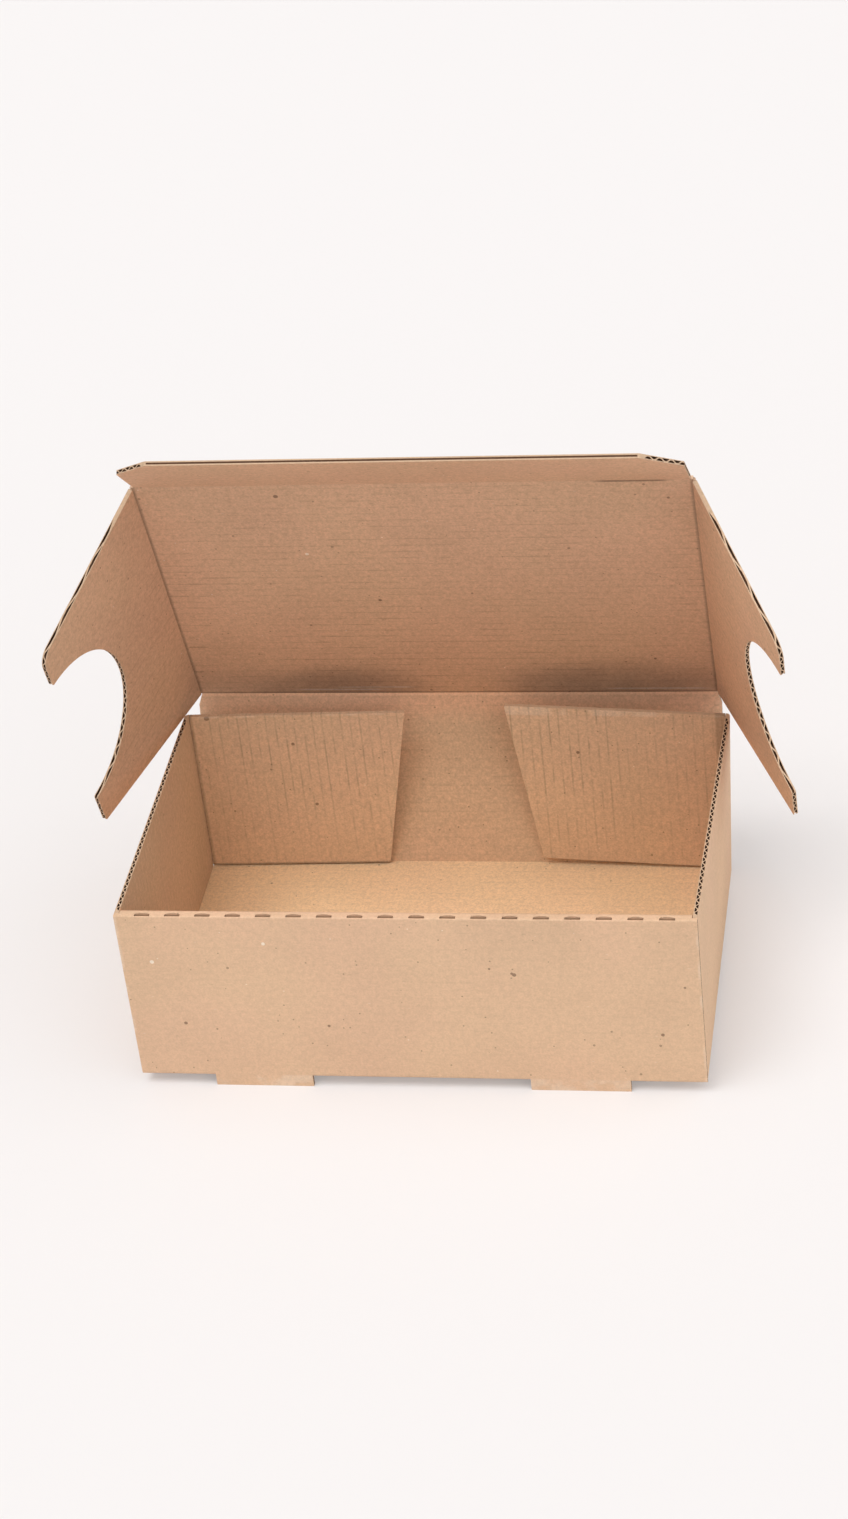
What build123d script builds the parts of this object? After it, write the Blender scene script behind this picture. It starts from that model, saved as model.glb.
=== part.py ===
"""Die-cut snack box folded from one sheet of fine-flute corrugated board.

The tray stands open: the lid leans over it, its wings are splayed outside the side walls and its
tuck flap is half folded. The origin lies at the middle of the floor's underside, +Y to the back.
"""
import os
from math import asin, atan2, cos, degrees, radians, sin, tan

from build123d import *

os.makedirs("parts", exist_ok=True)

# Board: caliper, outer radius of the side folds, gap left open at a moving fold, room between layers
# that lie together, and the strip pressed flat beside a crease
board = 1.5
fold_radius = 1.3
fold_gap = 0.15
layer_play = 0.1
crease_flat = 1.5

# Flutes inside the board: spacing of the waves, facing paper, wavy middle paper and width of a wave's tip
flute_pitch = 3.3
liner = 0.25
medium = 0.25
flute_tip = 0.6

# Tray
tray_width = 187.0
tray_depth = 116.0
wall_height = 66.0
right_wall_lean = 2.2

# Front wall: two panels rolled over the side walls' front flaps, and the feet below it
front_flap_length = 58.0
front_crease_radius = 0.6
roll_radius = 2.5
foot_width = 32.6
foot_spacing = 104.8
foot_height = 3.7
tab_play = 0.3
slit_length = 5.0
slit_width = 1.0
slit_depth = 1.3
slit_pitch = 9.9
slit_count = 18
lip_height = 0.5
lip_depth = 1.0

# Back wall and the two loose flaps in front of it
back_room = 2.2
back_lean = 11.25
hinge_rise = 0.1
back_shoulder = 1.4
back_shoulder_drop = 4.0
rear_flap_top = 75.9
rear_flap_bottom = 64.4
rear_flap_floor_gap = 0.7
rear_flap_corner = 0.5
left_flap_play = 0.3
right_flap_play = 0.6

# Lid with its tuck flap and its two wings
lid_length = 115.0
lid_play = 0.2
lid_lean = 20.7
crease_end = 0.8
tuck_length = 34.3
tuck_side = 21.4
tuck_bevel = 12.6
tuck_fold = 28.0
tuck_corner = 1.0
wing_depth = 65.3
wing_taper = 9.7
wing_left_fold = 69.6
wing_right_fold = 63.7
wing_corner = 6.0
wing_tip_corner = 0.8
bite_radius = 32.0

# Places that follow from the sizes
half_board = board / 2
half_width = tray_width / 2
front_y = -tray_depth / 2
front_panel_y = front_y + board
hidden_flap_y = front_panel_y + layer_play
inner_panel_y = hidden_flap_y + board + layer_play
inner_face_y = inner_panel_y + board
inner_half = half_width - board - 2 * layer_play
rear_fold_y = tray_depth / 2 - board - half_board
back_face_y = rear_fold_y + board + back_room
back_half = half_width - board
hinge_half = back_half - back_shoulder
panel_start = half_board + fold_gap
lid_half = half_width - board - lid_play - half_board
side_crease = half_width - board
side_height = wall_height - board
back_height = side_height + hinge_rise

# Tunnels on either side of the wavy middle paper, in section
tunnel_height = board - 2 * liner - medium
tunnel_width = flute_pitch - 2 * medium - flute_tip
tunnel_slope = degrees(atan2(tunnel_height, (tunnel_width - flute_tip) / 2))

# Back wall's plane on its middle layer: X along the crease, Y up the wall, Z towards the tray
back_up = Vector(0, sin(radians(back_lean)), cos(radians(back_lean)))
back_inward = Vector(1, 0, 0).cross(back_up)
back_crease = Vector(0, back_face_y, board)
back_plane = Plane(origin=back_crease - back_inward * half_board, x_dir=(1, 0, 0), z_dir=back_inward)
hinge_line = back_plane.from_local_coords((0, back_height, 0))

# Lid's plane starts at the hinge line: Y along the lid, Z out of its inner face
lid_up = Vector(0, -sin(radians(lid_lean)), cos(radians(lid_lean)))
lid_inward = Vector(1, 0, 0).cross(lid_up)
lid_plane = Plane(origin=hinge_line, x_dir=(1, 0, 0), z_dir=lid_inward)

# Tuck flap's plane starts at the lid's front crease
tuck_up = lid_up * cos(radians(tuck_fold)) + lid_inward * sin(radians(tuck_fold))
tuck_crease = lid_plane.from_local_coords((0, lid_length, 0))
tuck_plane = Plane(origin=tuck_crease, x_dir=(1, 0, 0), z_dir=Vector(1, 0, 0).cross(tuck_up))

# A wing's plane starts at the lid's side crease: X along the crease, Y out to the free edge
left_out = lid_inward * sin(radians(wing_left_fold)) - Vector(1, 0, 0) * cos(radians(wing_left_fold))
left_crease = lid_plane.from_local_coords((-lid_half, 0, 0))
left_wing_plane = Plane(origin=left_crease, x_dir=lid_up, z_dir=lid_up.cross(left_out))
right_out = lid_inward * sin(radians(wing_right_fold)) + Vector(1, 0, 0) * cos(radians(wing_right_fold))
right_crease = lid_plane.from_local_coords((lid_half, 0, 0))
right_wing_plane = Plane(origin=right_crease, x_dir=lid_up, z_dir=lid_up.cross(right_out))

# Side walls stand on the floor's side creases and end at their rear fold lines, which run up their
# inner faces; the right wall leans out at the back
lean = radians(right_wall_lean)
left_fold = Plane(origin=(-side_crease, rear_fold_y, board), x_dir=(1, 0, 0), z_dir=(0, 0, 1))
right_up = Vector(sin(lean), 0, cos(lean))
right_foot = Vector(half_width - board * cos(lean), rear_fold_y, board * sin(lean)) + right_up * board
right_fold = Plane(origin=right_foot, x_dir=(cos(lean), 0, -sin(lean)), z_dir=right_up)

# Rear flaps swing back until their lower corners stand just clear of the back wall
flap_height = side_height - rear_flap_floor_gap
flap_room = back_face_y + rear_flap_floor_gap * tan(radians(back_lean)) - rear_fold_y - board
left_swing = asin((flap_room - left_flap_play) / rear_flap_bottom)
right_swing = asin((flap_room - right_flap_play) / rear_flap_bottom)
left_along = left_fold.x_dir * cos(left_swing) + left_fold.y_dir * sin(left_swing)
right_along = right_fold.y_dir * sin(right_swing) - right_fold.x_dir * cos(right_swing)


def flutes_across(edge_length):
    """Count the whole waves that a cut edge of this length shows."""
    return int((edge_length - 2 * crease_flat) / flute_pitch)


def flute_section(flutes):
    """Draw the tunnels of a row of waves, with X along the cut edge and Y through the board."""
    for side in (-1, 1):
        with Locations((side * flute_pitch / 4, side * (half_board - liner))):
            with GridLocations(flute_pitch, 0, flutes, 1):
                Trapezoid(
                    tunnel_width,
                    tunnel_height,
                    tunnel_slope,
                    rotation=90 + 90 * side,
                    align=(Align.CENTER, Align.MIN),
                )


# Tray: floor, rolled front wall, side walls with their hidden front flaps and back wall, one sheet
with BuildPart() as tray:
    # Floor, full width under the side walls and narrower where it runs to the front and rear creases
    with BuildSketch(Plane.XY):
        with Locations((0, hidden_flap_y)):
            Rectangle(tray_width, rear_fold_y - hidden_flap_y, align=(Align.CENTER, Align.MIN))
        with Locations((0, front_panel_y)):
            Rectangle(2 * side_crease, back_face_y - front_panel_y, align=(Align.CENTER, Align.MIN))
    extrude(amount=board)

    # Left side wall, upright
    with BuildSketch(Plane.XZ.offset(-hidden_flap_y)):
        with Locations((-half_width, 0)):
            Rectangle(board, wall_height, align=(Align.MIN, Align.MIN))
    extrude(amount=hidden_flap_y - rear_fold_y)

    # Right side wall, upright at the front and twisted outwards to its free rear edge
    for place, tilt in ((hidden_flap_y, 0), (rear_fold_y, right_wall_lean)):
        with BuildSketch(Plane.XZ.offset(-place)):
            with Locations(Location((half_width, 0, 0), (0, 0, -tilt))):
                Rectangle(board, wall_height, align=(Align.MAX, Align.MIN))
    loft(ruled=True)

    # Outer side of each side fold bends round its inner crease
    for side in (-half_width, half_width):
        fillet(tray.edges().filter_by(Axis.Y).sort_by_distance((side, 0, 0))[0], fold_radius)

    # Side walls' front flaps, folded in and held between the two front panels
    with BuildSketch(Plane.XZ.offset(-hidden_flap_y)):
        for side, edge in ((-half_width, Align.MIN), (half_width, Align.MAX)):
            with Locations((side, board + layer_play)):
                hidden_height = wall_height - roll_radius - board - 2 * layer_play
                Rectangle(front_flap_length, hidden_height, align=(edge, Align.MIN))
    extrude(amount=-board)

    # Outer front panel on its bend, with a crisp crease along its top
    with BuildSketch(Plane.YZ):
        with BuildLine():
            bend = CenterArc((front_panel_y, board), board, 180, 90)
            crease_middle = (front_y + front_crease_radius, wall_height - front_crease_radius)
            crease = CenterArc(crease_middle, front_crease_radius, 90, 90)
            Line(bend @ 0, crease @ 1)
            Polyline(crease @ 0, (front_panel_y, wall_height), bend @ 1)
        make_face()
    extrude(amount=half_width, both=True)

    # Top rolled over softly into the inner front panel, narrower so that they drop between the side walls
    roll_middle = (inner_face_y - roll_radius, wall_height - roll_radius)
    with BuildSketch(Plane.YZ):
        with BuildLine():
            outside = CenterArc(roll_middle, roll_radius, 0, 90)
            inside = CenterArc(roll_middle, roll_radius - board, 0, 90)
            Polyline(
                outside @ 1,
                (front_panel_y, wall_height),
                (front_panel_y, wall_height - board),
                inside @ 1,
            )
            Polyline(
                inside @ 0,
                (inner_panel_y, board + layer_play),
                (inner_face_y, board + layer_play),
                outside @ 0,
            )
        make_face()
    extrude(amount=inner_half, both=True)

    # Back wall with cut shoulders beside the hinge, on a bend round the floor's rear crease
    with BuildSketch(back_plane):
        with BuildLine():
            Polyline(
                (-back_half, 0),
                (-back_half, back_height - back_shoulder_drop),
                (-hinge_half, back_height),
                (hinge_half, back_height),
                (back_half, back_height - back_shoulder_drop),
                (back_half, 0),
                close=True,
            )
        make_face()
    extrude(amount=half_board, both=True)
    with BuildSketch(Plane.YZ):
        with BuildLine():
            bend = CenterArc((back_face_y, board), board, -90, 90 - back_lean)
            Polyline(bend @ 1, (back_face_y, board), bend @ 0)
        make_face()
    extrude(amount=back_half, both=True)

    # Rounded crease along the back wall's top, which the lid turns on
    with Locations(Plane(origin=hinge_line, z_dir=(1, 0, 0))):
        Cylinder(half_board, 2 * hinge_half)

    # Bends at the side walls' rear folds, from the walls' ends to the rear flaps
    with BuildSketch(left_fold.offset(rear_flap_floor_gap)):
        with BuildLine():
            bend = CenterArc((0, 0), board, 90 + degrees(left_swing), 90 - degrees(left_swing))
            Polyline(bend @ 1, (0, 0), bend @ 0)
        make_face()
    extrude(amount=flap_height)
    with BuildSketch(right_fold.offset(rear_flap_floor_gap)):
        with BuildLine():
            bend = CenterArc((0, 0), board, 0, 90 - degrees(right_swing))
            Polyline(bend @ 1, (0, 0), bend @ 0)
        make_face()
    extrude(amount=flap_height)

    # Feet left standing below the front panel where its fold is cut free of the floor
    with BuildSketch(Plane.XZ.offset(-front_y)):
        with GridLocations(foot_spacing, 0, 2, 1):
            with Locations((0, board)):
                Rectangle(foot_width, foot_height + board, align=(Align.CENTER, Align.MAX))
    extrude(amount=-board)
    with BuildSketch(Plane.XY):
        with GridLocations(foot_spacing, 0, 2, 1):
            with Locations((0, front_panel_y)):
                Rectangle(foot_width, foot_height, align=(Align.CENTER, Align.MIN))
    extrude(amount=board, mode=Mode.SUBTRACT)

    # Tabs that lock the inner panel in the slots behind the feet
    with BuildSketch(Plane.XZ.offset(-inner_panel_y)):
        with GridLocations(foot_spacing, 0, 2, 1):
            Rectangle(foot_width - 2 * tab_play, 2 * board, align=(Align.CENTER, Align.MIN))
    extrude(amount=-board)

    # Slits along the two creases of the rolled top
    outer_row = Plane(origin=(0, front_y + half_board, wall_height), x_dir=(1, 0, 0), z_dir=(0, 0, 1))
    inner_row = Plane(origin=(0, *roll_middle), x_dir=(1, 0, 0), z_dir=(0, 1, 1)).offset(roll_radius)
    with BuildSketch(outer_row, inner_row):
        with GridLocations(slit_pitch, 0, slit_count, 1):
            Rectangle(slit_length, slit_width)
    extrude(amount=-slit_depth, mode=Mode.SUBTRACT)

    # Lips of board that the fold pushes up behind the outer slits
    with BuildSketch(mode=Mode.PRIVATE) as lip:
        with BuildLine():
            arch = ThreePointArc((-slit_length / 2, 0), (0, lip_height), (slit_length / 2, 0))
            Line(arch @ 0, arch @ 1)
        make_face()
    slit_back = front_y + half_board + slit_width / 2
    with BuildSketch(Plane(origin=(0, slit_back, wall_height), x_dir=(1, 0, 0), z_dir=(0, -1, 0))):
        with GridLocations(slit_pitch, 0, slit_count, 1):
            add(lip.sketch)
    extrude(amount=-lip_depth)

    # Flutes that run up the side walls and lie open along their top edges, wave by wave
    wall_length = rear_fold_y - hidden_flap_y
    wall_flutes = flutes_across(wall_length)
    wall_tops = []
    for side, tilt in ((-1, 0), (1, lean)):
        for wave in range(wall_flutes):
            share = 0.5 + (wave - (wall_flutes - 1) / 2) * flute_pitch / wall_length
            wall_up = Vector(sin(tilt * share), 0, cos(tilt * share))
            foot = Vector(side * half_width, hidden_flap_y + share * wall_length, 0)
            middle = foot + wall_up.cross(Vector(0, side, 0)) * half_board
            above = middle + wall_up * (wall_height + board)
            wall_tops.append(Plane(origin=above, x_dir=(0, 1, 0), z_dir=wall_up))
    with BuildSketch(*wall_tops):
        flute_section(1)
    extrude(amount=crease_flat - wall_height, mode=Mode.SUBTRACT)

tray.part.label = "tray"
export_step(tray.part, "parts/tray.step")

# Left rear flap, folded in from the left side wall and loose in front of the back wall
with BuildPart() as rear_flap_left:
    left_outward = left_along.cross(left_fold.z_dir)
    with BuildSketch(Plane(origin=left_fold.origin, x_dir=left_along, z_dir=left_outward)) as outline:
        with BuildLine():
            Polyline(
                (fold_gap, rear_flap_floor_gap),
                (rear_flap_bottom, rear_flap_floor_gap),
                (rear_flap_top, side_height),
                (fold_gap, side_height),
                close=True,
            )
        make_face()
        fillet(outline.vertices().group_by(Axis.X)[1:], rear_flap_corner)
    extrude(amount=-board)

rear_flap_left.part.label = "rear_flap_left"
export_step(rear_flap_left.part, "parts/rear_flap_left.step")

# Right rear flap, the same blank folded in from the right side wall
with BuildPart() as rear_flap_right:
    right_outward = right_along.cross(right_fold.z_dir)
    with BuildSketch(Plane(origin=right_fold.origin, x_dir=right_along, z_dir=right_outward)) as outline:
        with BuildLine():
            Polyline(
                (fold_gap, rear_flap_floor_gap),
                (rear_flap_bottom, rear_flap_floor_gap),
                (rear_flap_top, side_height),
                (fold_gap, side_height),
                close=True,
            )
        make_face()
        fillet(outline.vertices().group_by(Axis.X)[1:], rear_flap_corner)
    extrude(amount=board)

rear_flap_right.part.label = "rear_flap_right"
export_step(rear_flap_right.part, "parts/rear_flap_right.step")

# Lid panel, with rounded creases along its sides and front that the wings and tuck flap turn on
with BuildPart() as lid_panel:
    with BuildSketch(lid_plane):
        with Locations((0, panel_start)):
            Rectangle(2 * lid_half, lid_length - panel_start, align=(Align.CENTER, Align.MIN))
    extrude(amount=half_board, both=True)
    crease_foot = lid_plane.from_local_coords((0, crease_end, 0))
    with BuildSketch(Plane(origin=crease_foot, x_dir=(1, 0, 0), z_dir=lid_up)):
        with GridLocations(2 * lid_half, 0, 2, 1):
            Circle(half_board)
    extrude(amount=lid_length - 2 * crease_end)
    with Locations(Plane(origin=tuck_crease, z_dir=(1, 0, 0))):
        Cylinder(half_board, 2 * (lid_half - crease_end))

lid_panel.part.label = "lid_panel"
export_step(lid_panel.part, "parts/lid_panel.step")

# Tuck flap on the lid's front crease, with bevelled corners that lead it behind the front wall
with BuildPart() as lid_front_flap:
    tuck_half = lid_half - crease_end
    with BuildSketch(tuck_plane) as outline:
        with BuildLine():
            Polyline(
                (-tuck_half, panel_start),
                (-tuck_half, tuck_side),
                (-tuck_half + tuck_bevel, tuck_length),
                (tuck_half - tuck_bevel, tuck_length),
                (tuck_half, tuck_side),
                (tuck_half, panel_start),
                close=True,
            )
        make_face()
        fillet(outline.vertices().group_by(Axis.Y)[1:], tuck_corner)
    extrude(amount=half_board, both=True)
    tuck_middle = tuck_plane.from_local_coords((0, (panel_start + tuck_length) / 2, 0))
    with BuildSketch(Plane(origin=tuck_middle, x_dir=tuck_up, z_dir=(1, 0, 0))):
        flute_section(flutes_across(tuck_length - panel_start))
    extrude(amount=lid_half, both=True, mode=Mode.SUBTRACT)

lid_front_flap.part.label = "lid_front_flap"
export_step(lid_front_flap.part, "parts/lid_front_flap.step")

# Left wing: a tapered flap on the lid's side crease with a half-moon bite in its free edge
with BuildPart() as lid_wing_left:
    wing_slant = (wing_depth - panel_start) * tan(radians(wing_taper))
    with BuildSketch(left_wing_plane) as outline:
        with BuildLine():
            Polyline(
                (crease_end, panel_start),
                (crease_end + wing_slant, wing_depth),
                (lid_length - crease_end - wing_slant, wing_depth),
                (lid_length - crease_end, panel_start),
                close=True,
            )
        make_face()
        fillet(outline.vertices().group_by(Axis.Y)[-1].sort_by(Axis.X)[-1], wing_corner)
        with Locations((lid_length / 2, wing_depth)):
            Circle(bite_radius, mode=Mode.SUBTRACT)
        fillet(outline.vertices().group_by(Axis.Y)[-1].sort_by(Axis.X)[:-1], wing_tip_corner)
    extrude(amount=half_board, both=True)
    wing_root = left_wing_plane.from_local_coords((lid_length / 2, panel_start + crease_flat, 0))
    with BuildSketch(Plane(origin=wing_root, x_dir=lid_up, z_dir=left_out)):
        flute_section(flutes_across(lid_length))
    extrude(amount=wing_depth, mode=Mode.SUBTRACT)

lid_wing_left.part.label = "lid_wing_left"
export_step(lid_wing_left.part, "parts/lid_wing_left.step")

# Right wing, the same blank on the other side crease, splayed a little further
with BuildPart() as lid_wing_right:
    wing_slant = (wing_depth - panel_start) * tan(radians(wing_taper))
    with BuildSketch(right_wing_plane) as outline:
        with BuildLine():
            Polyline(
                (crease_end, panel_start),
                (crease_end + wing_slant, wing_depth),
                (lid_length - crease_end - wing_slant, wing_depth),
                (lid_length - crease_end, panel_start),
                close=True,
            )
        make_face()
        fillet(outline.vertices().group_by(Axis.Y)[-1].sort_by(Axis.X)[-1], wing_corner)
        with Locations((lid_length / 2, wing_depth)):
            Circle(bite_radius, mode=Mode.SUBTRACT)
        fillet(outline.vertices().group_by(Axis.Y)[-1].sort_by(Axis.X)[:-1], wing_tip_corner)
    extrude(amount=half_board, both=True)
    wing_root = right_wing_plane.from_local_coords((lid_length / 2, panel_start + crease_flat, 0))
    with BuildSketch(Plane(origin=wing_root, x_dir=lid_up, z_dir=right_out)):
        flute_section(flutes_across(lid_length))
    extrude(amount=wing_depth, mode=Mode.SUBTRACT)

lid_wing_right.part.label = "lid_wing_right"
export_step(lid_wing_right.part, "parts/lid_wing_right.step")
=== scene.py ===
from math import cos, pi, radians, sin

import bpy
from mathutils import Matrix, Vector

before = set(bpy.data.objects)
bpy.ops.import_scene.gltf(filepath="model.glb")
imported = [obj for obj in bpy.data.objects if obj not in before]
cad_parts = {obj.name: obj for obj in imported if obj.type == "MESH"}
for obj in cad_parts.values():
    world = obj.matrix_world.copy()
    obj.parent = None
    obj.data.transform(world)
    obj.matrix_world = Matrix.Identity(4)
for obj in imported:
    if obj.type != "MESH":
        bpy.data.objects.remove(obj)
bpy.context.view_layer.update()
bpy.ops.object.select_all(action="DESELECT")

# Tray: floor, rolled front wall, side walls and back wall, all folded from the one kraft sheet.
# Fine-flute corrugated board, brown inside and paler outside; its flutes run from side to side, so
# they stand upright in the side walls. The front wall is locked by tabs in the floor slots.
MM = 0.001
BOARD = 1.5 * MM
LINER = 0.25 * MM
FLUTE_PITCH = 3.3 * MM
OPEN_FLUTE_HALF = 0.5 * BOARD - 0.7 * LINER
INNER_LINER = (0.705, 0.484, 0.317)
OUTER_LINER = (0.720, 0.480, 0.315)
# The floor's colour is painted lighter for the light that falls on it from above.
FLOOR_PAINTED_LIGHT = (0.880, 0.630, 0.390)
# The back wall's top colour is painted redder for light thrown back from the lid.
BACK_TOP_BOUNCE_LIGHT = (0.815, 0.512, 0.335)
PINK_PULP = (1.01, 0.992, 0.99)
TAN_PULP = (0.995, 1.002, 0.98)
CUT_PAPER = (0.62, 0.43, 0.285)
# Painted shade inside the flutes, where little light gets in.
FLUTE_PAINTED_SHADE = (0.095, 0.043, 0.022)
# The dark fleck colour also paints shade in the front's slits and a shadow on a rear flap; the pale fleck
# colour also paints highlights on the lid's wrinkles.
DARK_FLECK_AND_SHADE = (0.20, 0.115, 0.07)
PALE_FLECK_AND_HIGHLIGHT = (0.92, 0.80, 0.66)
PAPER_SHEEN = 0.25


def board_material(material_name):
    """Start a matt paper material."""
    material = bpy.data.materials.new(material_name)
    material.use_nodes = True
    shader = material.node_tree.nodes["Principled BSDF"]
    shader.inputs["Specular IOR Level"].default_value = PAPER_SHEEN
    return material, material.node_tree, shader


def calc(tree, operation, *values):
    """One Math node; each value is a number or another node's output."""
    node = tree.nodes.new("ShaderNodeMath")
    node.operation = operation
    for socket, value in zip(node.inputs, values):
        if isinstance(value, (int, float)):
            socket.default_value = value
        else:
            tree.links.new(value, socket)
    return node.outputs[0]


def product(tree, first, *others):
    """Multiply masks and tones together."""
    for other in others:
        first = calc(tree, "MULTIPLY", first, other)
    return first


def either(tree, first, *others):
    """The strongest of several masks."""
    for other in others:
        first = calc(tree, "MAXIMUM", first, other)
    return first


def minus(tree, value, taken):
    """A value with another taken from it."""
    return calc(tree, "SUBTRACT", value, taken)


def left_over(tree, share):
    """What a share leaves of the whole."""
    return minus(tree, 1.0, share)


def above(tree, value, limit):
    """A mask of where a value is over a limit."""
    return calc(tree, "GREATER_THAN", value, limit)


def below(tree, value, limit):
    """A mask of where a value is under a limit."""
    return calc(tree, "LESS_THAN", value, limit)


def picked(tree, mask, value, otherwise):
    """One value inside a mask and another outside it."""
    return calc(tree, "MULTIPLY_ADD", mask, minus(tree, value, otherwise), otherwise)


def size_of(tree, value):
    """A value without its sign."""
    return calc(tree, "ABSOLUTE", value)


def along(tree, vector, direction):
    """How far a place or a facing reaches along a direction."""
    node = tree.nodes.new("ShaderNodeVectorMath")
    node.operation = "DOT_PRODUCT"
    tree.links.new(vector, node.inputs[0])
    node.inputs[1].default_value = direction
    return node.outputs["Value"]


def spread(tree, value, low, high, start=0.0, end=1.0):
    """Spread a value between two limits smoothly over a new range."""
    node = tree.nodes.new("ShaderNodeMapRange")
    node.interpolation_type = "SMOOTHSTEP"
    for name, number in (("From Min", low), ("From Max", high), ("To Min", start), ("To Max", end)):
        node.inputs[name].default_value = number
    tree.links.new(value, node.inputs["Value"])
    return node.outputs["Result"]


def sheet_place(tree, across, length, across_scale, length_scale):
    """A place on the flat sheet, from its distances across and along the flutes."""
    node = tree.nodes.new("ShaderNodeCombineXYZ")
    tree.links.new(product(tree, across, across_scale), node.inputs["X"])
    tree.links.new(product(tree, length, length_scale), node.inputs["Y"])
    return node.outputs["Vector"]


def cloud(tree, place, scale, detail=2.0):
    """Cloudy variation between 0 and 1."""
    node = tree.nodes.new("ShaderNodeTexNoise")
    node.inputs["Scale"].default_value = scale
    node.inputs["Detail"].default_value = detail
    tree.links.new(place, node.inputs["Vector"])
    return node.outputs["Fac"]


def flecks(tree, place, scale, size, share=1.0):
    """Scattered flecks of pulp; size is a share of their spacing, and only a share of them is kept."""
    node = tree.nodes.new("ShaderNodeTexVoronoi")
    node.inputs["Scale"].default_value = scale
    tree.links.new(place, node.inputs["Vector"])
    kept = below(tree, along(tree, node.outputs["Color"], (1, 0, 0)), share)
    return product(tree, below(tree, node.outputs["Distance"], size), kept)


def mixed(tree, share, first, second, kind="MIX"):
    """Mix two colours by a share, or shade the first with the second."""
    node = tree.nodes.new("ShaderNodeMix")
    node.data_type = "RGBA"
    node.blend_type = kind
    for socket, value in ((node.inputs["Factor"], share), (node.inputs[6], first), (node.inputs[7], second)):
        if isinstance(value, (int, float)):
            socket.default_value = value
        elif isinstance(value, tuple):
            socket.default_value = (*value, 1.0)
        else:
            tree.links.new(value, socket)
    return node.outputs[2]


def flute_wave(tree, across):
    """The wave of the paper between the liners, from -1 to 1."""
    return calc(tree, "SINE", product(tree, across, 2 * pi / FLUTE_PITCH))


# The paper's patterns: how many a metre holds; the two limits of a cloud and the tones they give; and
# for flecks their scale, size and share. Ribs are the flutes that show through the paper.
RIB_CREST = (0.7, 1.0)
RIB_BREAKS_PER_METRE = 100.0
RIB_BREAK_SCALE = 0.9
RIB_BREAKS = (0.4, 0.64, 0.2, 1.0)
RIB_PATCHES_PER_METRE = 22.0
RIB_PATCHES = (0.35, 0.6, 0.45, 1.0)
OUTSIDE_RIBS = 0.03
CLOUDS_PER_METRE = 26.0
CLOUDS = (0.3, 0.7, 0.965, 1.03)
TINTS_PER_METRE = 17.0
TINTS = (0.35, 0.65)
GRAINS_PER_METRE = 1500.0
GRAIN = (0.2, 0.8)
GRAIN_INSIDE = 0.11
GRAIN_OUTSIDE = 0.065
MOTTLES_PER_METRE = 650.0
MOTTLES = (0.25, 0.75, -0.65, 0.65)
FIBRES_PER_METRE = (420.0, 120.0)
DARK_FIBRES = (1.0, 0.09, 0.3)
PALE_FIBRES = (1.37, 0.08, 0.2)
PALE_SPECKS = (120.0, 0.03)
COARSE_SPECKS = (95.0, 0.045)
FINE_SPECKS = (210.0, 0.062)
ROUGHNESS = (0.8, 0.94)
RELIEF_STRENGTH = 0.3
RELIEF_HEIGHT = 0.05 * MM


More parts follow.
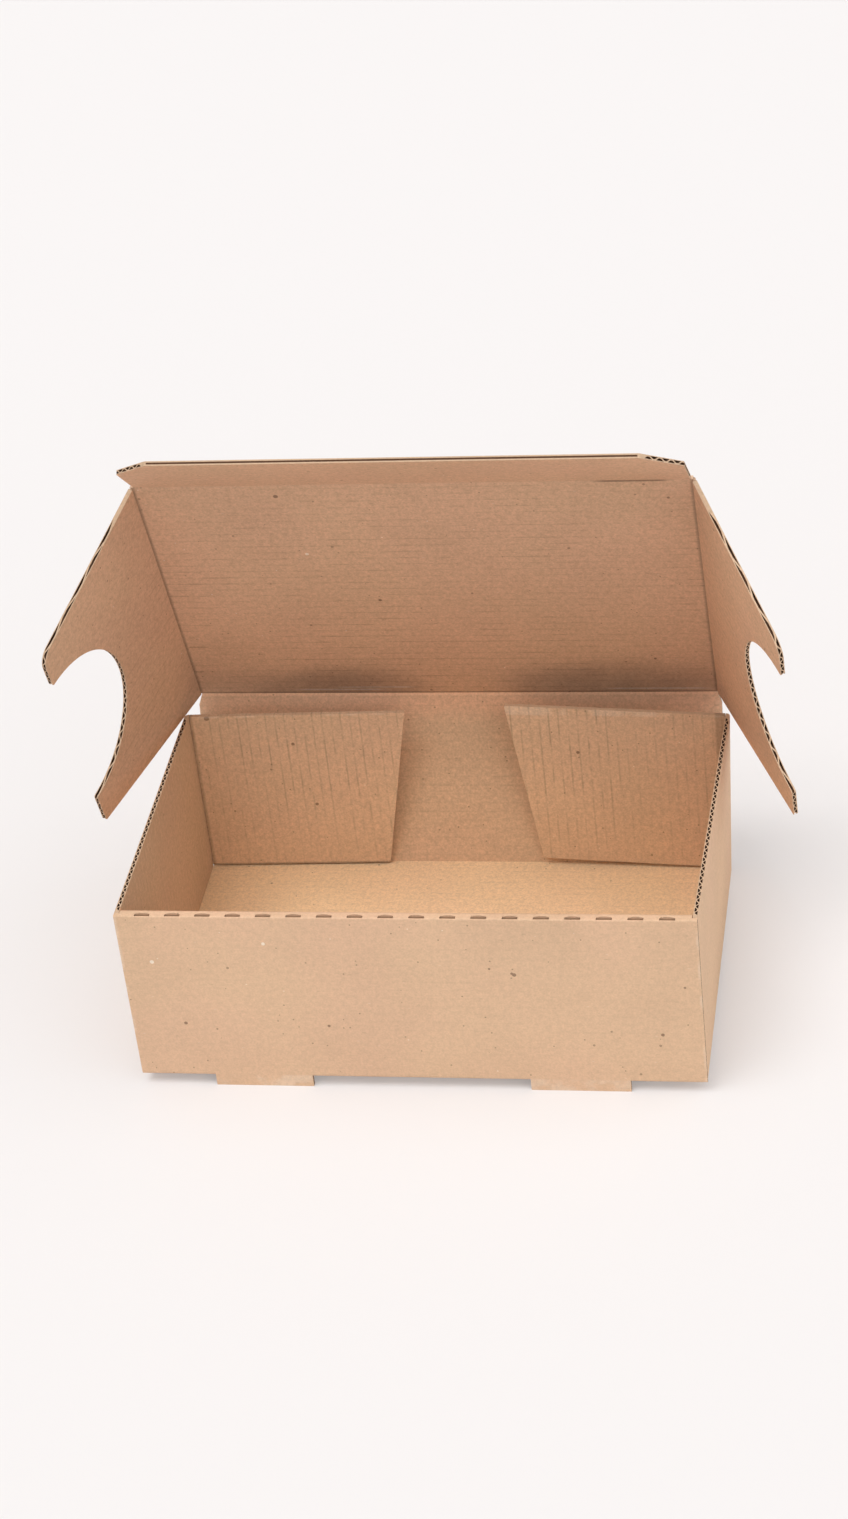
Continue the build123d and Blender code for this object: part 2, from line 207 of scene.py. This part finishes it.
def kraft_board(tree, shader, place, across, length, ribs, inner, outside, cut, hollow, shade, dark, pale):
    """Kraft paper over flutes, bare paper where it is cut and painted shade inside the flutes.

    across and length measure the sheet across and along its flutes; ribs is how far these show through the
    inside paper and inner is its colour; outside, cut and hollow are masks, and hollow places get painted
    shade; shade carries painted shade, painted light and darker patches; dark and pale are single marks on
    the paper, among them painted shade in slits, a painted shadow and painted highlights on wrinkles."""
    wave = flute_wave(tree, across)
    rib_place = sheet_place(tree, across, length, 1 / FLUTE_PITCH, RIB_BREAKS_PER_METRE)
    broken = spread(tree, cloud(tree, rib_place, RIB_BREAK_SCALE), *RIB_BREAKS)
    patchy = spread(tree, cloud(tree, place, RIB_PATCHES_PER_METRE, detail=1.0), *RIB_PATCHES)
    rib_depth = calc(tree, "MULTIPLY_ADD", left_over(tree, outside), ribs, OUTSIDE_RIBS)
    rib_line = spread(tree, wave, *RIB_CREST)
    rib_shade = left_over(tree, product(tree, rib_line, broken, patchy, rib_depth))

    clouds = spread(tree, cloud(tree, place, CLOUDS_PER_METRE, detail=3.0), *CLOUDS)
    grain = cloud(tree, place, GRAINS_PER_METRE)
    grain_depth = calc(tree, "MULTIPLY_ADD", outside, GRAIN_OUTSIDE - GRAIN_INSIDE, GRAIN_INSIDE)
    pulp = calc(tree, "MULTIPLY_ADD", spread(tree, grain, *GRAIN, -1.0, 1.0), grain_depth, 1.0)
    coarse = spread(tree, cloud(tree, place, MOTTLES_PER_METRE), *MOTTLES)
    mottle = calc(tree, "MULTIPLY_ADD", coarse, grain_depth, 1.0)
    tone_and_light = product(tree, rib_shade, clouds, mottle, pulp, shade)

    liner = mixed(tree, outside, inner, OUTER_LINER)
    tint = mixed(tree, spread(tree, cloud(tree, place, TINTS_PER_METRE), *TINTS), PINK_PULP, TAN_PULP)
    liner = mixed(tree, 1.0, liner, tint, "MULTIPLY")
    fibre_place = sheet_place(tree, across, length, *FIBRES_PER_METRE)
    dark_marks = either(tree, flecks(tree, place, *COARSE_SPECKS), flecks(tree, place, *FINE_SPECKS))
    marks = (
        (flecks(tree, fibre_place, *DARK_FIBRES), 0.16, DARK_FLECK_AND_SHADE),
        (flecks(tree, fibre_place, *PALE_FIBRES), 0.22, PALE_FLECK_AND_HIGHLIGHT),
        (flecks(tree, place, *PALE_SPECKS), 0.6, PALE_FLECK_AND_HIGHLIGHT),
        (dark_marks, 0.55, DARK_FLECK_AND_SHADE),
        (dark, 0.75, DARK_FLECK_AND_SHADE),
        (pale, 0.8, PALE_FLECK_AND_HIGHLIGHT),
    )
    for mark, strength, mark_colour in marks:
        liner = mixed(tree, product(tree, mark, strength), liner, mark_colour)
    colour = mixed(tree, cut, liner, CUT_PAPER)
    colour = mixed(tree, hollow, colour, FLUTE_PAINTED_SHADE)

    shaded = tree.nodes.new("ShaderNodeVectorMath")
    shaded.operation = "SCALE"
    tree.links.new(colour, shaded.inputs[0])
    tree.links.new(tone_and_light, shaded.inputs["Scale"])
    tree.links.new(shaded.outputs["Vector"], shader.inputs["Base Color"])
    tree.links.new(spread(tree, grain, *GRAIN, *ROUGHNESS), shader.inputs["Roughness"])

    relief = calc(tree, "ADD", product(tree, wave, 0.5), product(tree, grain, 0.5))
    bump = tree.nodes.new("ShaderNodeBump")
    bump.inputs["Strength"].default_value = RELIEF_STRENGTH
    bump.inputs["Distance"].default_value = RELIEF_HEIGHT
    tree.links.new(relief, bump.inputs["Height"])
    tree.links.new(bump.outputs["Normal"], shader.inputs["Normal"])


WAVE_HEIGHT = 0.33 * BOARD


def painted_flutes(tree, across, through):
    """Where a cut end that has no open tunnels shows the painted shade between its papers."""
    middle_paper = product(tree, flute_wave(tree, across), WAVE_HEIGHT)
    off_paper = size_of(tree, minus(tree, through, middle_paper))
    core = below(tree, size_of(tree, through), 0.5 * BOARD - LINER)
    return product(tree, core, above(tree, off_paper, 0.5 * LINER))


def away_squared(tree, first_off, second_off):
    """The square of the distance that two offsets make."""
    return calc(tree, "ADD", product(tree, first_off, first_off), product(tree, second_off, second_off))


def spots(tree, first, second, marks):
    """Round marks on a panel, each given by its place and radius in millimetres."""
    found = []
    for first_place, second_place, radius in marks:
        first_off = minus(tree, first, first_place * MM)
        second_off = minus(tree, second, second_place * MM)
        found.append(below(tree, away_squared(tree, first_off, second_off), (radius * MM) ** 2))
    return either(tree, *found)


def soft_patch(tree, first, second, middle, reach):
    """A soft round patch on a panel that fades out at its reach, both in millimetres."""
    first_off = calc(tree, "DIVIDE", minus(tree, first, middle[0] * MM), reach[0] * MM)
    second_off = calc(tree, "DIVIDE", minus(tree, second, middle[1] * MM), reach[1] * MM)
    return spread(tree, away_squared(tree, first_off, second_off), 0.0, 1.0, 1.0, 0.0)


RUBS_PER_METRE = 150.0
RUBS = (0.42, 0.62, 0.0, 0.3)


def rubbed(tree, place, edge):
    """Uneven wear along an edge, where handling has scuffed the paper pale."""
    return product(tree, edge, spread(tree, cloud(tree, place, RUBS_PER_METRE, detail=3.0), *RUBS))


def surface(tree):
    """Place and facing of a surface point in the box's own frame."""
    source = tree.nodes.new("ShaderNodeTexCoord")
    return source.outputs["Object"], source.outputs["Normal"]


def dress(node_name, material):
    """Give a board piece its material."""
    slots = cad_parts[node_name].data.materials
    slots.clear()
    slots.append(material)


SIDEWAYS = Vector((1, 0, 0))
BACKWARDS = Vector((0, 1, 0))
UPWARDS = Vector((0, 0, 1))
SQUARE_ON = 0.7
FLAT_ON = 0.9
EDGE_ON = 0.06
WALL_TOP = 66.0 * MM
WALL_MIDDLE = 92.75 * MM
WALL_INSIDE = 91.8 * MM
WALL_FRONT = -56.45 * MM
WALL_LENGTH = 112.2 * MM
WALL_LEAN_OUT = 2.534 * MM
WALL_RIM = 0.4 * MM
REAR_FOLD = 55.0 * MM
SIDE_PAINTED_SHADE = 0.13
FLOOR_TOP = 2.0 * MM
TRAY_MIDDLE = Vector((0, 3.0 * MM, 0.5 * WALL_TOP))
TRAY_RIBS = 0.04
FRONT_WALL_BACK = -52.9 * MM
FRONT_PANEL_MIDDLE = -57.25 * MM
FRONT_LOW_EDGE = (0.2 * MM, 1.4 * MM)
FRONT_SIDE_EDGE = (WALL_MIDDLE - 0.4 * MM, WALL_MIDDLE + 0.5 * MM)
SLIT_HEIGHT = WALL_TOP - 0.85 * MM
SLIT_HALF = 0.6 * MM
SLIT_PAINTED_SHADE = 0.45
BACK_LEAN = radians(11.25)
BACK_CREASE = Vector((0, 59.45, 1.5)) * MM
BACK_END_ON = 0.25
BACK_TOP = (52.0 * MM, 62.0 * MM)
BACK_TOP_FOLD = (63.7 * MM, 64.6 * MM)
BACK_TOP_FOLD_HIGHLIGHT = 0.16
BACK_PATCH_MIDDLE = (58.0, 66.0)
BACK_PATCH_REACH = (45.0, 9.0)
BACK_PATCH_DARK = 0.15
FRONT_SPECKS = (
    (-75.7, 22.3, 0.6),
    (-28.1, 21.9, 0.5),
    (34.3, 43.8, 0.7),
    (33.6, 44.3, 0.5),
    (26.5, 46.1, 0.4),
    (80.2, 20.1, 0.6),
    (88.3, 39.4, 0.4),
)
FRONT_CHIPS = ((-83.4, 47.5, 0.7), (-45.7, 55.3, 0.6))
tray_board, tree, shader = board_material("tray_board")
place, facing = surface(tree)
sideways = along(tree, place, SIDEWAYS)
depth = along(tree, place, BACKWARDS)
rise = along(tree, place, UPWARDS)
facing_side = size_of(tree, along(tree, facing, SIDEWAYS))
facing_up = along(tree, facing, UPWARDS)
on_side = above(tree, facing_side, SQUARE_ON)
level = above(tree, size_of(tree, facing_up), SQUARE_ON)
across = picked(tree, either(tree, on_side, level), depth, rise)
length = picked(tree, on_side, rise, sideways)

# The outer paper also covers the rolled-over front wall on both of its sides.
from_middle = tree.nodes.new("ShaderNodeVectorMath")
from_middle.operation = "SUBTRACT"
tree.links.new(place, from_middle.inputs[0])
from_middle.inputs[1].default_value = TRAY_MIDDLE
outward = tree.nodes.new("ShaderNodeVectorMath")
outward.operation = "DOT_PRODUCT"
tree.links.new(from_middle.outputs["Vector"], outward.inputs[0])
tree.links.new(facing, outward.inputs[1])
outside = above(tree, outward.outputs["Value"], 0.0)
outside = either(tree, outside, below(tree, depth, FRONT_WALL_BACK))
inside = left_over(tree, outside)

# Side walls: cut paper along their tops and painted shade inside their flutes; the right one leans out.
behind_front = above(tree, depth, WALL_FRONT)
in_side_wall = product(tree, behind_front, above(tree, size_of(tree, sideways), WALL_INSIDE))
wall_top = product(tree, in_side_wall, level, above(tree, rise, WALL_TOP - WALL_RIM))
back_share = calc(tree, "DIVIDE", minus(tree, depth, WALL_FRONT), WALL_LENGTH)
on_right = above(tree, sideways, 0.0)
lean_out = product(tree, back_share, rise, on_right, WALL_LEAN_OUT / WALL_TOP)
through_wall = minus(tree, minus(tree, size_of(tree, sideways), WALL_MIDDLE), lean_out)
in_core = below(tree, size_of(tree, through_wall), OPEN_FLUTE_HALF)
upright = below(tree, size_of(tree, facing_up), EDGE_ON)
above_floor = above(tree, rise, 2 * BOARD)
before_fold = below(tree, depth, REAR_FOLD)
past_front = above(tree, depth, WALL_FRONT + 0.5 * BOARD)
wall_flutes = product(tree, in_core, upright, above_floor, before_fold, past_front)

# Ends of the front panel and of the back wall, cut across their flutes, with the shade between their papers
# painted on.
front_end = product(tree, on_side, below(tree, depth, WALL_FRONT))
through_front = minus(tree, depth, FRONT_PANEL_MIDDLE)
front_flutes = product(tree, front_end, painted_flutes(tree, rise, through_front))
back_out = Vector((0, cos(BACK_LEAN), -sin(BACK_LEAN)))
through_back = minus(tree, along(tree, place, back_out), BACK_CREASE.dot(back_out) + 0.5 * BOARD)
in_back_wall = above(tree, depth, BACK_CREASE.y)
back_end = product(tree, above(tree, facing_side, BACK_END_ON), in_back_wall)
back_flutes = product(tree, back_end, painted_flutes(tree, rise, through_back))

# The floor is painted lighter for the light from above, the side walls carry painted shade inside, and the
# back wall is painted redder towards its top for light thrown back from the lid, with a painted highlight
# along its top fold and a darker patch at its top right. The front carries a few specks and chips; its slits
# carry painted shade inside.
on_floor = product(tree, above(tree, facing_up, SQUARE_ON), below(tree, rise, FLOOR_TOP))
inner = mixed(tree, on_floor, INNER_LINER, FLOOR_PAINTED_LIGHT)
inner = mixed(tree, product(tree, in_back_wall, spread(tree, rise, *BACK_TOP)), inner, BACK_TOP_BOUNCE_LIGHT)
inside_back = product(tree, in_back_wall, inside)
darker_patch = product(tree, inside_back, soft_patch(tree, sideways, rise, BACK_PATCH_MIDDLE, BACK_PATCH_REACH))
shade = left_over(tree, product(tree, inside, on_side, SIDE_PAINTED_SHADE))
shade = product(tree, shade, left_over(tree, product(tree, darker_patch, BACK_PATCH_DARK)))
top_fold_highlight = spread(tree, rise, *BACK_TOP_FOLD, 0.0, BACK_TOP_FOLD_HIGHLIGHT)
shade = calc(tree, "MULTIPLY_ADD", inside_back, top_fold_highlight, shade)
on_front = below(tree, along(tree, facing, BACKWARDS), -FLAT_ON)
# Painted shade inside the front's slits, carried with the front's specks.
in_slit_depth = calc(tree, "COMPARE", depth, FRONT_PANEL_MIDDLE, SLIT_HALF)
in_slit_height = calc(tree, "COMPARE", rise, SLIT_HEIGHT, SLIT_HALF)
dark_marks = product(tree, on_front, spots(tree, sideways, rise, FRONT_SPECKS))
dark_marks = either(tree, dark_marks, product(tree, in_slit_depth, in_slit_height, SLIT_PAINTED_SHADE))
low_edge = spread(tree, rise, *FRONT_LOW_EDGE, 1.0, 0.0)
side_edge = product(tree, on_front, spread(tree, size_of(tree, sideways), *FRONT_SIDE_EDGE))
worn_edge = product(tree, outside, either(tree, low_edge, side_edge))
chips = product(tree, on_front, spots(tree, sideways, rise, FRONT_CHIPS))
kraft_board(
    tree, shader, place, across, length, TRAY_RIBS, inner, outside,
    cut=either(tree, wall_top, front_end, back_end),
    hollow=either(tree, wall_flutes, front_flutes, back_flutes),
    shade=shade, dark=dark_marks, pale=either(tree, chips, rubbed(tree, place, worn_edge)),
)
dress("tray", tray_board)

# Lid: the sheet goes on over the back wall's top crease into the lid, which leans forward over the
# tray. Same board, scored along its folds, with its flutes running from side to side.
LID_LINER = (0.665, 0.417, 0.270)
LID_LEAN = radians(20.7)
LID_HALF = 91.05 * MM
LID_LENGTH = 115.0 * MM
LID_RIBS = (55.0 * MM, 100.0 * MM, 0.17, 0.09)
HINGE = Vector((0, 72.788, 64.712)) * MM
SIDE_FOLD = (LID_HALF - 1.5 * MM, LID_HALF - 0.6 * MM, 0.0, 0.32)
BACK_FOLD = (1.0 * MM, 2.2 * MM, 0.4, 0.0)
WORN_FULLY = 0.5 * MM
WORN_OUT_TO = 2.0 * MM
# Painted shade above the hinge: two soft patches, how dark they are, and their cloudiness.
LID_SHADE_PATCHES = (((-38.0, 2.0), (38.0, 19.0)), ((58.0, 2.0), (52.0, 21.0)))
LID_SHADE_DARK = 0.3
LID_SHADE_PER_METRE = 60.0
LID_SHADE_CLOUDS = (0.25, 0.65, 0.55, 1.0)
LID_CRACKS = ((58.0, 85.0, 114.7, 1.2), (-90.5, -82.0, 28.1, 0.5), (-90.5, -87.0, 13.6, 0.5))
# Painted highlights along the lid's wrinkles.
LID_WRINKLE_HIGHLIGHTS = ((-58.0, -22.0, 2.9, 1.0), (-44.0, -12.0, 4.2, 1.0), (50.0, 90.0, 2.9, 1.0))
LID_WRINKLE_HIGHLIGHT_STRENGTH = 0.5
LID_SPECKS = ((-18.5, 53.9, 0.6), (-44.2, 109.3, 0.8), (82.5, 106.0, 0.5), (71.0, 20.0, 0.5))
LID_CHIPS = ((-39.1, 79.2, 0.6),)
lid_up = Vector((0, -sin(LID_LEAN), cos(LID_LEAN)))
lid_inward = SIDEWAYS.cross(lid_up)


def fine_lines(tree, first, second, lines):
    """Thin lines across a panel, each with its start, end, height and width in millimetres."""
    found = []
    for start, end, height, width in lines:
        off_middle = size_of(tree, minus(tree, first, 0.5 * (start + end) * MM))
        off_line = size_of(tree, minus(tree, second, height * MM))
        in_length = spread(tree, off_middle, 0.3 * (end - start) * MM, 0.5 * (end - start) * MM, 1.0, 0.0)
        in_width = spread(tree, off_line, 0.25 * width * MM, 0.5 * width * MM, 1.0, 0.0)
        found.append(product(tree, in_length, in_width))
    return either(tree, *found)


lid_board, tree, shader = board_material("lid_board")
place, facing = surface(tree)
sideways = along(tree, place, SIDEWAYS)
from_hinge = minus(tree, along(tree, place, lid_up), HINGE.dot(lid_up))
outside = below(tree, along(tree, facing, lid_inward), 0.0)
inside = left_over(tree, outside)

# Inside, the lid carries painted shade in two soft patches above the hinge and along its folds; it is
# cracked, and its wrinkles carry painted highlights. Outside, its folds are rubbed pale.
darker_patch = either(tree, *(soft_patch(tree, sideways, from_hinge, *patch) for patch in LID_SHADE_PATCHES))
shade_clouds = spread(tree, cloud(tree, place, LID_SHADE_PER_METRE, detail=3.0), *LID_SHADE_CLOUDS)
shade = left_over(tree, product(tree, inside, darker_patch, shade_clouds, LID_SHADE_DARK))
side_fold = spread(tree, size_of(tree, sideways), *SIDE_FOLD)
painted_fold_shade = product(tree, inside, either(tree, side_fold, spread(tree, from_hinge, *BACK_FOLD)))
shade = product(tree, shade, left_over(tree, painted_fold_shade))
dark_marks = spots(tree, sideways, from_hinge, LID_SPECKS)
dark = product(tree, inside, either(tree, dark_marks, fine_lines(tree, sideways, from_hinge, LID_CRACKS)))
wrinkle_highlights = product(tree, fine_lines(tree, sideways, from_hinge, LID_WRINKLE_HIGHLIGHTS), LID_WRINKLE_HIGHLIGHT_STRENGTH)
pale = product(tree, inside, either(tree, wrinkle_highlights, spots(tree, sideways, from_hinge, LID_CHIPS)))
side_worn = spread(tree, size_of(tree, sideways), LID_HALF - WORN_OUT_TO, LID_HALF - WORN_FULLY)
back_worn = spread(tree, from_hinge, WORN_FULLY, WORN_OUT_TO, 1.0, 0.0)
front_worn = spread(tree, from_hinge, LID_LENGTH - WORN_OUT_TO, LID_LENGTH - WORN_FULLY)
worn_folds = product(tree, outside, either(tree, side_worn, back_worn, front_worn))
kraft_board(
    tree, shader, place, from_hinge, sideways, spread(tree, from_hinge, *LID_RIBS), LID_LINER, outside,
    cut=0.0, hollow=0.0, shade=shade, dark=dark, pale=either(tree, pale, rubbed(tree, place, worn_folds)),
)
dress("lid_panel", lid_board)

# Tuck flap and wings: flaps of the same sheet on the lid's front and side folds. Same board, cut with
# a die that gives each wing its half-moon bite; the flutes are open where a cut edge runs across them.
TUCK_FOLD = radians(28.0)
LEFT_FOLD = radians(69.6)
RIGHT_FOLD = radians(63.7)
FLAP_FOLD = (0.6 * MM, 1.5 * MM)
CUT_EDGE_ON = 0.4
EDGE_LINE_HALF = 0.2 * BOARD
tuck_up = lid_up * cos(TUCK_FOLD) + lid_inward * sin(TUCK_FOLD)
left_out = lid_inward * sin(LEFT_FOLD) - SIDEWAYS * cos(LEFT_FOLD)
right_out = lid_inward * sin(RIGHT_FOLD) + SIDEWAYS * cos(RIGHT_FOLD)

# Each flap: its fold's corner, the way it reaches out from there, across its flutes and along them, how far
# the flutes show, how deep the painted shade in its fold is, and how much painted light or shade its paper
# gets for the way it faces the light.
flaps = {
    "lid_front_flap": (HINGE + lid_up * LID_LENGTH, tuck_up, tuck_up, SIDEWAYS, 0.04, 0.04, 0.99),
    "lid_wing_left": (HINGE - SIDEWAYS * LID_HALF, left_out, lid_up, left_out, 0.1, 0.3, 0.93),
    "lid_wing_right": (HINGE + SIDEWAYS * LID_HALF, right_out, lid_up, right_out, 0.1, 0.3, 1.06),
}
for node_name, (corner, fold_out, across_flutes, along_flutes, ribs, fold_depth, tone_and_light) in flaps.items():
    inward = across_flutes.cross(along_flutes)
    inward = inward if inward.y < 0 else -inward
    flap_board, tree, shader = board_material(node_name + "_board")
    place, facing = surface(tree)
    across = along(tree, place, across_flutes)
    length = along(tree, place, along_flutes)
    facing_in = along(tree, facing, inward)
    outside = below(tree, facing_in, 0.0)
    cut = below(tree, size_of(tree, facing_in), CUT_EDGE_ON)

    # An edge that runs along the flutes is closed but for a line of painted shade in its middle.
    through = size_of(tree, minus(tree, along(tree, place, inward), corner.dot(inward)))
    in_core = below(tree, through, OPEN_FLUTE_HALF)
    lengthwise = below(tree, size_of(tree, along(tree, facing, along_flutes)), EDGE_ON)
    free_edge = above(tree, along(tree, facing, across_flutes), FLAT_ON)
    closed_edge = product(tree, free_edge, above(tree, through, EDGE_LINE_HALF))
    hollow = product(tree, in_core, lengthwise, left_over(tree, closed_edge))

    # Painted shade inside the fold, and rubbed wear on the fold outside.
    from_fold = minus(tree, along(tree, place, fold_out), corner.dot(fold_out))
    painted_fold_shade = product(tree, spread(tree, from_fold, *FLAP_FOLD, fold_depth, 0.0), left_over(tree, outside))
    shade = product(tree, left_over(tree, painted_fold_shade), tone_and_light)
    worn_fold = product(tree, outside, spread(tree, from_fold, WORN_FULLY, WORN_OUT_TO, 1.0, 0.0))
    kraft_board(
        tree, shader, place, across, length, ribs, LID_LINER, outside,
        cut=cut, hollow=hollow, shade=shade, dark=0.0, pale=rubbed(tree, place, worn_fold),
    )
    dress(node_name, flap_board)

# Rear flaps: folded in from the side walls and standing loose in front of the back wall, with their
# flutes upright. Same board, cut on a slant at the free end, its edges pressed shut by the cutter.
REAR_FOLD_SHADE = (90.4 * MM, 91.4 * MM, 1.05, 0.75)
REAR_FOOT_SHADE = (2.3 * MM, 3.2 * MM, 0.55, 1.0)
REAR_TOP_EDGE = (WALL_TOP - 1.2 * MM, WALL_TOP - 0.3 * MM)
REAR_RIBS = (10.0 * MM, 45.0 * MM, 0.1, 0.22)
# The first rear speck is a painted shadow at the left flap's top corner by its fold; the others are specks.
REAR_SPECKS_AND_SHADOW = ((-85.8, 65.2, 0.9), (-56.6, 53.8, 0.6), (-51.1, 28.1, 0.6), (43.0, 50.0, 0.6))
for node_name in ("rear_flap_left", "rear_flap_right"):
    flap_board, tree, shader = board_material(node_name + "_board")
    place, facing = surface(tree)
    sideways = along(tree, place, SIDEWAYS)
    rise = along(tree, place, UPWARDS)
    forward = along(tree, facing, -BACKWARDS)
    # Painted shade at each flap's fold and along its foot over the floor; away from the fold the paper is
    # painted a little lighter.
    fold_shade = spread(tree, size_of(tree, sideways), *REAR_FOLD_SHADE)
    foot_shade = spread(tree, rise, *REAR_FOOT_SHADE)
    kraft_board(
        tree, shader, place, sideways, rise, spread(tree, rise, *REAR_RIBS), INNER_LINER,
        outside=below(tree, forward, 0.0),
        cut=below(tree, size_of(tree, forward), CUT_EDGE_ON),
        hollow=0.0,
        shade=product(tree, fold_shade, foot_shade),
        dark=spots(tree, sideways, rise, REAR_SPECKS_AND_SHADOW),
        pale=rubbed(tree, place, spread(tree, rise, *REAR_TOP_EDGE)),
    )
    dress(node_name, flap_board)

# Stage: a roll of pale paper that touches the two front feet and the tray's rear edge, so it lies at a
# slight slope under the box. It glows a little for the eye, and the far wall beyond it is as pale.
FOOT_FRONT = Vector((0, -57.25, -3.7)) * MM
REAR_EDGE = Vector((0, 60.2, 0.0)) * MM
FLOOR_WIDTH = 6.0
FLOOR_PAPER = (0.822, 0.793, 0.784, 1.0)
FLOOR_ROUGHNESS = 0.88
FLOOR_GLOW = 0.28
BACKDROP = (0.947, 0.913, 0.905, 1.0)
SKY = (1.0, 0.985, 0.975, 1.0)
SKY_STRENGTH = 0.43


def seen_by_eye(tree):
    """A mask of the rays that show the surroundings, straight on, in a gloss or through glass."""
    ray = tree.nodes.new("ShaderNodeLightPath").outputs
    return either(tree, ray["Is Camera Ray"], ray["Is Glossy Ray"], ray["Is Transmission Ray"])


def shown(tree, share, shader, other, output):
    """Show a share of another shader in place of the first."""
    mix = tree.nodes.new("ShaderNodeMixShader")
    tree.links.new(share, mix.inputs["Fac"])
    tree.links.new(shader.outputs[0], mix.inputs[1])
    tree.links.new(other.outputs[0], mix.inputs[2])
    tree.links.new(mix.outputs["Shader"], tree.nodes[output].inputs["Surface"])


floor_slope = (REAR_EDGE - FOOT_FRONT).normalized()
bpy.ops.mesh.primitive_plane_add(size=FLOOR_WIDTH)
floor = bpy.context.object
floor.name = "studio_floor"
turn = Matrix((SIDEWAYS, floor_slope, SIDEWAYS.cross(floor_slope))).transposed()
floor.data.transform(Matrix.Translation(FOOT_FRONT) @ turn.to_4x4())
floor_paint, tree, shader = board_material("studio_floor")
shader.inputs["Base Color"].default_value = FLOOR_PAPER
shader.inputs["Roughness"].default_value = FLOOR_ROUGHNESS
glow = tree.nodes.new("ShaderNodeEmission")
glow.inputs["Color"].default_value = BACKDROP
shown(tree, product(tree, seen_by_eye(tree), FLOOR_GLOW), shader, glow, "Material Output")
floor.data.materials.append(floor_paint)

world = bpy.data.worlds.new("studio")
bpy.context.scene.world = world
world.use_nodes = True
tree = world.node_tree
sky = tree.nodes["Background"]
sky.inputs["Color"].default_value = SKY
sky.inputs["Strength"].default_value = SKY_STRENGTH
far_wall = tree.nodes.new("ShaderNodeBackground")
far_wall.inputs["Color"].default_value = BACKDROP
shown(tree, seen_by_eye(tree), sky, far_wall, "World Output")

# Lamps: a soft box high in front and to the left, a broad light over the top, and a cool broad fill
# from the right. Each has the way towards it, its width in degrees, its strength and its tint.
lamps = {
    "soft_box": ((-0.3, -0.28, 1.0), 34.0, 1.35, (1.0, 1.0, 1.0)),
    "broad_top": ((0.1, -0.42, 1.0), 100.0, 0.78, (1.0, 1.0, 1.0)),
    "right_fill": ((0.9, -0.2, 0.5), 90.0, 0.8, (0.86, 0.94, 1.0)),
}
for lamp_name, (towards, wide, strength, tint) in lamps.items():
    lamp = bpy.data.lights.new(lamp_name, "SUN")
    lamp.angle = radians(wide)
    lamp.energy = strength
    lamp.color = tint
    lamp_object = bpy.data.objects.new(lamp_name, lamp)
    bpy.context.scene.collection.objects.link(lamp_object)
    lamp_object.rotation_euler = Vector(towards).to_track_quat("Z", "Y").to_euler()

# Camera at the photograph's place: in front, a little to the right of square and well above, tilted to
# one side as the photograph is. Its lens comes from the picture's height in pixels.
AZIMUTH = radians(12.08)
ELEVATION = radians(34.14)
ROLL = radians(-6.86)
DISTANCE = 1074.0 * MM
TARGET = Vector((1.24, 0, 86.69)) * MM
FOCAL_PIXELS = 3299.0
IMAGE_HEIGHT = 1519
SENSOR_WIDTH = 36.0
back = Vector((sin(AZIMUTH) * cos(ELEVATION), -cos(AZIMUTH) * cos(ELEVATION), sin(ELEVATION)))
right = Vector((cos(AZIMUTH), sin(AZIMUTH), 0))
up = back.cross(right)
rolled_right = right * cos(ROLL) + up * sin(ROLL)
rolled_up = up * cos(ROLL) - right * sin(ROLL)
camera_data = bpy.data.cameras.new("camera")
camera_data.sensor_width = SENSOR_WIDTH
camera_data.lens = FOCAL_PIXELS / IMAGE_HEIGHT * SENSOR_WIDTH
camera = bpy.data.objects.new("camera", camera_data)
bpy.context.scene.collection.objects.link(camera)
camera.matrix_world = Matrix.LocRotScale(
    TARGET + back * DISTANCE, Matrix((rolled_right, rolled_up, back)).transposed(), None
)
bpy.context.scene.camera = camera
bpy.context.scene.view_settings.view_transform = "Standard"
